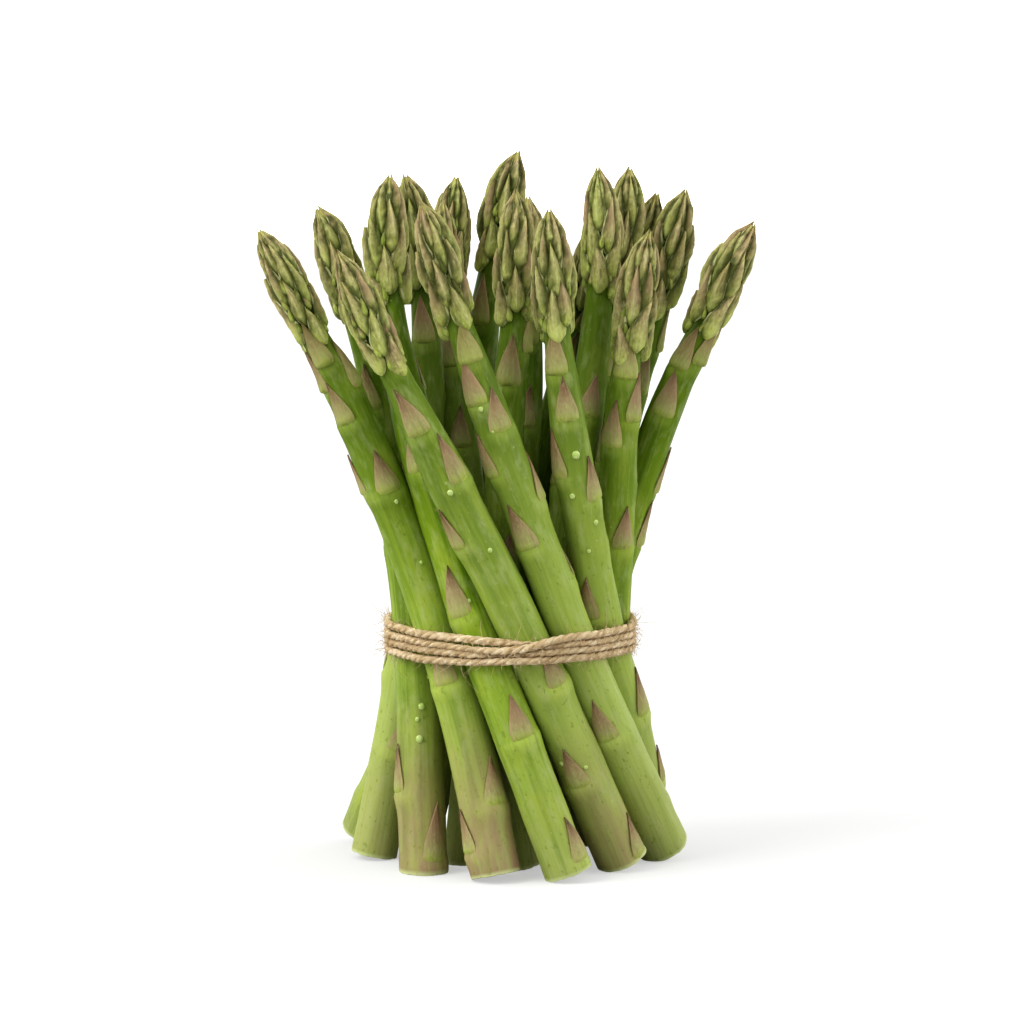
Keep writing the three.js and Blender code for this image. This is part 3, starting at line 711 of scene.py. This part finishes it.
bud_finish = scale_finish("side_bud", [
    (0.0, (0.300, 0.420, 0.050)),
    (0.5, (0.440, 0.540, 0.100)),
    (1.0, (0.420, 0.380, 0.130)),
], (0.52, 0.60, 0.17), (0.240, 0.380, 0.035))


# The folds between the head's scales are painted darker as shade, read off a grid of rows and turns round
# the head.
FOLD_ROWS = 90
FOLD_TURNS = 40
FOLD_BELOW_TIP = 52 * MM       # the grid of rows and turns starts here, below the head
FOLD_SPAN = 54 * MM
FOLD_START = 0.35 * MM         # points this far under their neighbours begin to take painted shade
FOLD_RUN = 0.9 * MM
FOLD_FREE_TIP = 4 * MM
FOLD_FADE_FROM = 41 * MM
FOLD_FADE = 8 * MM


def fold_shade_depth(points, course):
    """How deep each point of the head lies in the folds between its scales, from 0 to 1, for the painted
    shade in those folds.
    """
    low = course.length - FOLD_BELOW_TIP
    row = ((points[:, 2] - low) / FOLD_SPAN * FOLD_ROWS).astype(int)
    row = np.clip(row, 0, FOLD_ROWS - 1)
    round_share = np.arctan2(points[:, 0], -points[:, 1]) / (2 * math.pi) % 1
    turn = (round_share * FOLD_TURNS).astype(int) % FOLD_TURNS
    spread = np.linalg.norm(points[:, :2], axis=1)
    outer = np.zeros((FOLD_ROWS, FOLD_TURNS))
    np.maximum.at(outer, (row, turn), spread)
    wide = outer.copy()
    for down in (-2, -1, 0, 1, 2):
        for way in (-2, -1, 0, 1, 2):
            wide = np.maximum(wide, np.roll(np.roll(outer, down, 0), way, 1))
    below = wide[row, turn] - spread
    fold_shade = np.clip((below - FOLD_START) / FOLD_RUN, 0, 1)
    fold_shade *= points[:, 2] < course.length - FOLD_FREE_TIP
    return fold_shade * np.clip((points[:, 2] - course.length + FOLD_FADE_FROM) / FOLD_FADE, 0, 1)


def leaf_size(course, s, draws):
    """Length, width and thickness of a scale leaf in mm, and how near the head it is, from 0 to 1."""
    near_head = np.clip(1 - (course.length - s - HEAD_LEAVES_END) / NEAR_RUN, 0, 1)
    near_foot = np.clip(1 - s / NEAR_RUN, 0, 1)
    length = draws.uniform(13.0, 16.5) + 1.0 * near_head + 1.5 * near_foot
    width = draws.uniform(6.6, 8.2) - 0.3 * near_head + 0.6 * near_foot
    return length, width, 0.95 + 0.8 * near_head, near_head


def grow_spear(number, course, leaves, blush, pale, draws):
    """One spear, grown straight and upright, joined into one piece and bent to its course."""
    stem = grow_stem(f"asparagus_{number:02d}", course, leaves, draws)
    for finish in (skin_finish, flesh_finish, leaf_finish, head_finish, bud_finish, water_finish):
        stem.data.materials.append(finish)
    cut_foot(stem, 1)
    parts = []

    def put(shape, material, *where, **how):
        part = lay_scale(shape, course, *where, **how)
        part.data.materials.clear()
        part.data.materials.append(material)
        parts.append(part)

    for height, direction in leaves:
        s = course.at_height(height * MM)
        length, width, thickness, near_head = leaf_size(course, s, draws)
        put(stem_leaf_shape, leaf_finish, s, math.radians(direction),
            (length * MM, width * MM, thickness * MM), draws.uniform(0, 0.35) + 0.6 * near_head,
            opening=(draws.uniform(0.0, 0.3) + 0.4 * near_head) * MM, skew=draws.uniform(-0.3, 0.3),
            sink=-0.35 * MM, crinkle=0.05 * MM)
    turn = draws.uniform(0, 2 * math.pi)
    size = draws.uniform(0.94, 1.06)
    plump = draws.uniform(0.78, 1.12)
    loosened = draws.uniform(0.4, 1.5)
    for k in range(HEAD_SCALES):
        up = k / (HEAD_SCALES - 1)
        below_tip = (TOP_SCALE_BELOW_TIP + HEAD_SPREAD * (1 - up) ** 1.2) * MM
        s = course.length - below_tip
        length = np.interp(up, *LENGTH_UP) * draws.uniform(0.9, 1.1) * MM
        length = min(length * size, below_tip - draws.uniform(-0.3, 1.6) * MM)
        width = np.interp(up, *WIDTH_UP) * draws.uniform(0.9, 1.1)
        thickness = np.interp(up, *THICKNESS_UP) * draws.uniform(0.85, 1.15)
        direction = turn + k * GOLDEN_TURN + draws.uniform(-0.15, 0.15)
        loose = np.interp(up, *LOOSENESS_UP) * draws.uniform(0.2, 1.7) * loosened
        put(low_scale_shape if k < LOW_SCALES else head_scale_shape, head_finish, s, direction,
            (length, width * size * MM, thickness * plump * MM), draws.uniform(0, 1),
            opening=loose * MM, skew=draws.uniform(-0.45, 0.45), crinkle=0.22 * MM)
        if up < BUDS_UP_TO:
            for way in (-1, 1):
                bud = draws.uniform(0.7, 1.1)
                put(side_bud, bud_finish, s + draws.uniform(1, 5) * MM,
                    direction + way * draws.uniform(0.5, 0.8),
                    [bud * side for side in BUD_SIZE], draws.uniform(0, 1),
                    skew=-way * 0.15, crinkle=0.1 * MM)
    parts += cling(number, course, leaves)
    bpy.ops.object.select_all(action="DESELECT")
    for part in parts:
        part.select_set(True)
    stem.select_set(True)
    bpy.context.view_layer.objects.active = stem
    bpy.ops.object.join()
    points = read_points(stem)
    mark(stem, "grown", points + draws.uniform(-1, 1, 3) * np.array([1, 1, 0]), "FLOAT_VECTOR")
    mark(stem, "blush", blush)
    mark(stem, "pale", pale)
    # how deep each point lies in the head's folds, for the painted shade there
    mark(stem, "fold_shade", fold_shade_depth(points, course))
    below = course.bend(points * np.array([1, 1, 0]))[:, 2]
    fade = np.clip(1 - points[:, 2] / LEVEL_FADE, 0, 1)
    points = course.bend(points)
    if course.level_cut:
        points[:, 2] -= below * fade
    points[:, 2] = np.maximum(points[:, 2], 0)
    write_points(stem, points)
    bpy.ops.object.shade_smooth_by_angle(angle=SMOOTH_ANGLE)
    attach(stem, "root")
    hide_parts(f"spear_{number:02d}")


courses = [Course(f"spear_{k + 1:02d}") for k in range(SPEAR_COUNT)]
growth = np.random.default_rng(11)
for k in range(SPEAR_COUNT):
    grow_spear(k + 1, courses[k], LEAVES[k], FOOT_BLUSH[k], PALENESS[k], growth)
for shape in (stem_leaf_shape, head_scale_shape, low_scale_shape, side_bud, water_bead):
    bpy.data.objects.remove(shape)

# ---------------------------------------------------------------------------------------------
# The twine. One length of three-ply jute, wound four times round the waist of the bundle, crossing
# over itself at the front, and tied behind in a half knot with two short ends. Loose fibres stand
# off it all round.

PLIES = 3
PLY_RADIUS = 0.83 * MM
PLY_OFFSET = 0.51 * MM
LAY_LENGTH = 9 * MM
STRAND_REACH = 1.25 * MM       # from the stems to the middle of the strand
TWINE_HEIGHT = 72 * MM
TURN_ENDS = 165                # degrees from the front where a strand goes into the knot behind
TURN_POINTS = 150
KNOT_BED = 0.09                # twice the radius, in metres, of the round that the knot lies on
CORD_STEP = 0.7 * MM
PLY_UNEVENNESS = 0.10
# Painted shade on the twine: the plies darken towards the middle of their strand and where another strand
# touches them.
CORE_SHADE = (1.14 * MM, 0.40 * MM)       # how near the middle a ply takes painted shade, and over what run
CONTACT_SHADE = (1.80 * MM, 0.6 * MM)     # the same for the middle of a strand that it touches
DEEPEST_CONTACT_SHADE = 0.85
OWN_TURN = 30                  # steps along the cord within which it isn't its own neighbour
FOLD_CHUNK = 1500              # points compared with the cord at a time
HAIRS = 1300
HAIR_POINTS = 6
HAIR_ROOT = 1.2 * MM
HAIR_RADII = (0.065, 0.03)     # in mm, at the root and at the end
LONG_HAIR_EVERY = 6
# Directions in degrees from the front towards the right, and heights in mm of the four strands there.
STATIONS = [-180, -135, -90, -45, -17, -4, 7, 18, 31, 60, 88, 135, 180]
STRANDS = [
    [70.5, 69.2, 68.2, 67.9, 68.3, 68.8, 69.0, 69.0, 69.2, 69.3, 69.5, 70.2, 71.0],
    [71.0, 71.0, 70.8, 71.0, 70.7, 70.8, 71.0, 71.3, 71.6, 71.7, 71.9, 72.4, 73.2],
    [73.2, 73.2, 73.0, 73.0, 71.9, 71.8, 72.9, 74.7, 75.6, 76.0, 76.3, 76.6, 76.4],
    [76.4, 76.6, 76.3, 75.6, 75.1, 74.4, 73.7, 73.3, 73.4, 73.6, 73.9, 73.6, 73.0],
]
# How far each strand is pushed out where it crosses another, in mm.
CROSSING = [
    [0.2, 0, 0, 0, 0.1, 0.8, 0.9, 0.3, 0, 0, 0, 0, 0.4],
    [0.4, 0, 0, 0.2, 0.6, 0.2, 0.2, 0.3, 0.2, 0, 0, 0, 0.4],
    [0.4, 0, 0, 0, 0.3, 1.2, 1.7, 0.8, 0.2, 0, 0, 0, 0.2],
    [0.2, 0, 0, 0, 0, 0, 0, 0, 0.1, 0, 0, 0, 0],
]
# The two halves of the knot with their loose ends, seen from behind, as (to the right of the middle,
# height, out from the stems) in mm.
TAILS = [
    [(-11, 72.9, 0.6), (-6, 72.8, 1.6), (-2.5, 73.4, 3.0), (0.6, 73.0, 4.0), (2.4, 70.6, 3.4),
     (0.8, 68.6, 2.2), (-1.8, 67.2, 2.6), (-3.6, 64.0, 3.0), (-4.6, 60.0, 2.4)],
    [(4.8, 59.6, 2.2), (3.4, 63.6, 2.6), (2.0, 67.0, 2.6), (-0.6, 68.8, 3.6), (-2.6, 70.8, 3.4),
     (-0.8, 73.0, 2.0), (2.4, 72.6, 1.8), (6, 71.2, 1.2), (11, 70.6, 0.5)],
]


def waist_reach(direction, height):
    """How far from the upright axis a cord pulled tight round the stems lies, in a direction."""
    around = np.linspace(-math.pi, math.pi, 241)
    middles, radii = [], []
    for course in courses:
        x, y, z = course.line.T
        middles.append([np.interp(height, z, x), np.interp(height, z, y)])
        radii.append(np.interp(height, z, course.radius))
    middles = np.array(middles)
    radii = np.array(radii) + FULLNESS
    aims = np.column_stack([np.sin(around), -np.cos(around)])
    support = (middles @ aims.T + radii[:, None]).max(0) + STRAND_REACH
    reach = np.empty_like(direction)
    for k, way in enumerate(direction):
        facing = np.cos(around - way)
        ahead = facing > 0.25
        reach[k] = (support[ahead] / facing[ahead]).min()
    return reach


def cord_path():
    """The middle line of the whole cord, from one loose end to the other."""
    turns = []
    for heights, pushes in zip(STRANDS, CROSSING):
        way = np.radians(np.linspace(-TURN_ENDS, TURN_ENDS, TURN_POINTS))
        height = np.interp(np.degrees(way), STATIONS, heights) * MM
        push = np.interp(np.degrees(way), STATIONS, pushes) * MM
        reach = waist_reach(way, TWINE_HEIGHT) + push
        turns.append(np.column_stack([reach * np.sin(way), -reach * np.cos(way), height]))
    back = waist_reach(np.array([math.pi]), TWINE_HEIGHT)[0]
    knots = []
    for tail in TAILS:
        right, height, out = (np.array(tail) * MM).T
        knots.append(np.column_stack([-right, back + out - np.abs(right) ** 2 / KNOT_BED, height]))
    return np.vstack([knots[1], *turns, knots[0]])


def even_line(points, step, width):
    """The same line with points at even steps, smoothed."""
    run = np.concatenate([[0], np.cumsum(np.linalg.norm(np.diff(points, axis=0), axis=1))])
    marks = np.linspace(0, run[-1], int(run[-1] / step) + 1)
    line = np.column_stack([np.interp(marks, run, points[:, k]) for k in range(3)])
    return np.column_stack([smooth(line[:, k], width) for k in range(3)])


def sweep(name, lines, radii, roundness):
    """Round strands along lines, as one mesh, made from a bevelled curve."""
    bpy.ops.object.select_all(action="DESELECT")
    bpy.ops.curve.primitive_bezier_curve_add()
    strand = bpy.context.object
    strand.name = name
    strand.data.splines.clear()
    for line, radius in zip(lines, radii):
        spline = strand.data.splines.new("POLY")
        spline.points.add(len(line) - 1)
        spline.points.foreach_set("co", np.column_stack([line, np.ones(len(line))]).ravel())
        spline.points.foreach_set("radius", np.broadcast_to(radius, len(line)).astype(float))
    strand.data.dimensions = "3D"
    strand.data.bevel_depth = 1.0
    strand.data.bevel_resolution = roundness
    strand.data.use_fill_caps = True
    bpy.ops.object.convert(target="MESH")
    return bpy.context.object


# the jute's own brown to straw colour, with painted shade in the grooves of its fibre bump
JUTE_COLOUR_AND_GROOVE_SHADE = [
    (0.28, (0.24, 0.150, 0.060)),
    (0.42, (0.50, 0.365, 0.195)),
    (0.56, (0.70, 0.56, 0.355)),
    (0.70, (0.87, 0.75, 0.53)),
]
JUTE_BROWN = (0.46, 0.33, 0.18)
JUTE_STRAW = (0.90, 0.82, 0.66)
# painted shade in the grooves between plies and where strands touch
JUTE_FOLD_SHADE = (0.16, 0.095, 0.040)


def jute():
    fibre = Finish("jute", 0.85, 0.15)
    along = fibre.attribute("grown", "Vector")
    strands = fibre.noise(along, (900, 900, 55), 3.0)
    fine = fibre.noise(along, (2600, 2600, 160), 2.0)
    patch = fibre.noise(along, (60, 60, 30), 2.0)
    # partly the jute's own colour, partly painted shade, dark in the grooves of the strand bump and pale
    # on its ridges
    fibre.colour = fibre.ramp(strands, JUTE_COLOUR_AND_GROOVE_SHADE)
    fibre.over(JUTE_BROWN, fibre.ranged(patch, 0.45, 0.62, 0.0, 0.6))
    fibre.over(JUTE_STRAW, fibre.ranged(fine, 0.58, 0.75, 0.0, 0.6))
    # painted shade in the grooves between plies and where strands touch
    fibre.over(JUTE_FOLD_SHADE, fibre.attribute("fold_shade"))
    return fibre.finish([(strands, 0.30 * MM), (fine, 0.16 * MM)])


middle = even_line(cord_path(), CORD_STEP, 4)
ahead = np.gradient(middle, axis=0)
ahead /= np.linalg.norm(ahead, axis=1)[:, None]
outward = middle * np.array([1, 1, 0])
outward -= ahead * (outward * ahead).sum(1)[:, None]
outward /= np.linalg.norm(outward, axis=1)[:, None]
upward = np.cross(ahead, outward) * np.sign(np.cross(ahead, outward)[:, 2:3])
run = np.arange(len(middle)) * np.linalg.norm(np.diff(middle, axis=0), axis=1).mean()
plies, swell = [], []
jute_draws = np.random.default_rng(5)
for k in range(PLIES):
    twist = 2 * math.pi * (run[:, None] / LAY_LENGTH + k / PLIES)
    plies.append(middle + PLY_OFFSET * (np.cos(twist) * outward + np.sin(twist) * upward))
    unevenness = smooth(jute_draws.normal(0, 1, len(run)), 5)
    swell.append(PLY_RADIUS * (1 + PLY_UNEVENNESS * unevenness))
twine = sweep("jute_twine", plies, swell, 2)
points = read_points(twine)
per_ply = len(points) // PLIES
ring = np.minimum(np.arange(per_ply) // (per_ply // len(run)), len(run) - 1)
# painted shade in the grooves between the plies and where the cord touches another turn of itself
fold_shade = np.zeros(len(points))
own = np.empty((len(points), 3))
for k, ply in enumerate(plies):
    part = slice(k * per_ply, (k + 1) * per_ply)
    own[part] = points[part] - ply[ring] + np.array([0.01 * k, 0, 0])
    from_middle = np.linalg.norm(points[part] - middle[ring], axis=1)
    fold_shade[part] = np.clip((CORE_SHADE[0] - from_middle) / CORE_SHADE[1], 0, 1)
all_rings = np.tile(ring, PLIES)
for start in range(0, len(points), FOLD_CHUNK):
    part = slice(start, start + FOLD_CHUNK)
    gap = np.linalg.norm(points[part, None] - middle[None], axis=2)
    apart = np.abs(all_rings[part, None] - np.arange(len(middle))[None])
    nearest = np.where(apart > OWN_TURN, gap, 1.0).min(1)
    contact = np.clip((CONTACT_SHADE[0] - nearest) / CONTACT_SHADE[1], 0, DEEPEST_CONTACT_SHADE)
    fold_shade[part] = np.maximum(fold_shade[part], contact)
own[:, 2] += run[all_rings]
mark(twine, "grown", own, "FLOAT_VECTOR")
mark(twine, "fold_shade", fold_shade)
jute_finish = jute()
twine.data.materials.clear()
twine.data.materials.append(jute_finish)

hairs, hair_radii = [], []
for k in range(HAIRS):
    at = jute_draws.integers(4, len(middle) - 4)
    turn = jute_draws.uniform(0, 2 * math.pi)
    away = math.cos(turn) * outward[at] + math.sin(turn) * upward[at]
    if away @ outward[at] < -0.2:
        away = away - 2 * (away @ outward[at]) * outward[at]
    root = middle[at] + away * HAIR_ROOT
    length = jute_draws.uniform(1.2, 4.0) * MM * (2.0 if k % LONG_HAIR_EVERY == 0 else 1)
    aim = away * jute_draws.uniform(0.2, 0.9) + ahead[at] * jute_draws.uniform(-1, 1)
    aim = aim + upward[at] * jute_draws.uniform(-1.1, 0.9)
    aim /= np.linalg.norm(aim)
    curl = np.cross(aim, jute_draws.normal(0, 1, 3)) * jute_draws.uniform(0.1, 0.7)
    t = np.linspace(0, 1, HAIR_POINTS)[:, None]
    hairs.append(root + length * (aim * t + curl * t ** 2))
    hair_radii.append(np.linspace(*HAIR_RADII, HAIR_POINTS) * MM)
fluff = sweep("jute_fluff", hairs, hair_radii, 0)
mark(fluff, "grown", read_points(fluff), "FLOAT_VECTOR")
mark(fluff, "fold_shade", 0.0)
fluff.data.materials.clear()
fluff.data.materials.append(jute_finish)
bpy.ops.object.select_all(action="DESELECT")
fluff.select_set(True)
twine.select_set(True)
bpy.context.view_layer.objects.active = twine
bpy.ops.object.join()
bpy.ops.object.shade_smooth()
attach(twine, "root")
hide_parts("twine")

# ---------------------------------------------------------------------------------------------
# The floor, lights and camera. A plain sheet of pale paper under the bundle, and round it a light
# tent: two broad bright sides, the right one brighter, a dimmer front and back and a softer top,
# with one large soft lamp in front, from the upper left.

FLOOR_GREY = 0.42
FLOOR_GLOW = 0.41              # lifts the paper to white where the camera sees it directly
TENT_BASE = 0.19
TENT_SIDES = 1.35
TENT_SIDE_FALLOFF = 1.6
TENT_RIGHT = 0.6
TENT_TOP = 0.35
TENT_BACKDROP = 3.0            # behind the bundle, where the camera looks at it
TENT_MOST = 2.2                # nowhere brighter than this
CAMERA_PLACE = (0.0009, -1.1993, 0.232)
CAMERA_DOWN = math.radians(5.8)
CAMERA_LENS = 136.7

bpy.ops.object.select_all(action="DESELECT")
bpy.ops.mesh.primitive_plane_add(size=12)
floor = bpy.context.object
floor.name = "floor"
paper = Finish("floor_paper", 0.9, 0.1)
paper.shader.inputs["Base Color"].default_value = (FLOOR_GREY, FLOOR_GREY, FLOOR_GREY, 1)
paper.shader.inputs["Emission Color"].default_value = (1, 1, 1, 1)
direct = paper.nodes.new("ShaderNodeLightPath").outputs["Is Camera Ray"]
paper.join(paper.sum("MULTIPLY", direct, FLOOR_GLOW), paper.shader.inputs["Emission Strength"])
floor.data.materials.append(paper.material)

world = bpy.data.worlds.new("light_tent")
bpy.context.scene.world = world
world.use_nodes = True
tent = world.node_tree.nodes
around = tent["Background"]
around.inputs["Color"].default_value = (1, 1, 1, 1)


def tent_sum(kind, a, b=0.0):
    node = tent.new("ShaderNodeMath")
    node.operation = kind
    for value, socket in ((a, node.inputs[0]), (b, node.inputs[1])):
        if isinstance(value, (int, float)):
            socket.default_value = value
        else:
            world.node_tree.links.new(value, socket)
    return node.outputs[0]


heading = tent.new("ShaderNodeSeparateXYZ")
world.node_tree.links.new(tent.new("ShaderNodeTexCoord").outputs["Generated"], heading.inputs[0])
sideways = tent_sum("POWER", tent_sum("ABSOLUTE", heading.outputs["X"]), TENT_SIDE_FALLOFF)
rightwards = tent_sum("MAXIMUM", heading.outputs["X"])
overhead = tent_sum("MAXIMUM", heading.outputs["Z"])
glow = tent_sum("MULTIPLY", sideways, TENT_SIDES)
glow = tent_sum("ADD", glow, tent_sum("MULTIPLY", overhead, TENT_TOP))
glow = tent_sum("ADD", glow, tent_sum("MULTIPLY", rightwards, TENT_RIGHT))
glow = tent_sum("ADD", glow, TENT_BASE)
seen = tent.new("ShaderNodeLightPath").outputs["Is Camera Ray"]
glow = tent_sum("MAXIMUM", glow, tent_sum("MULTIPLY", seen, TENT_BACKDROP))
glow = tent_sum("MINIMUM", glow, TENT_MOST)
world.node_tree.links.new(glow, around.inputs["Strength"])

lamp_turn = (math.radians(52), 0, math.radians(-58))
bpy.ops.object.light_add(type="SUN", location=(-1, -1, 2), rotation=lamp_turn)
key = bpy.context.object
key.name = "soft_key"
key.data.energy = 1.6
key.data.angle = math.radians(35)

bpy.ops.object.camera_add(location=CAMERA_PLACE, rotation=(math.radians(90) - CAMERA_DOWN, 0, 0))
camera = bpy.context.object
camera.data.sensor_width = 36
camera.data.lens = CAMERA_LENS
bpy.context.scene.camera = camera
bpy.context.scene.view_settings.view_transform = "Standard"
bpy.context.scene.view_settings.look = "Medium High Contrast"
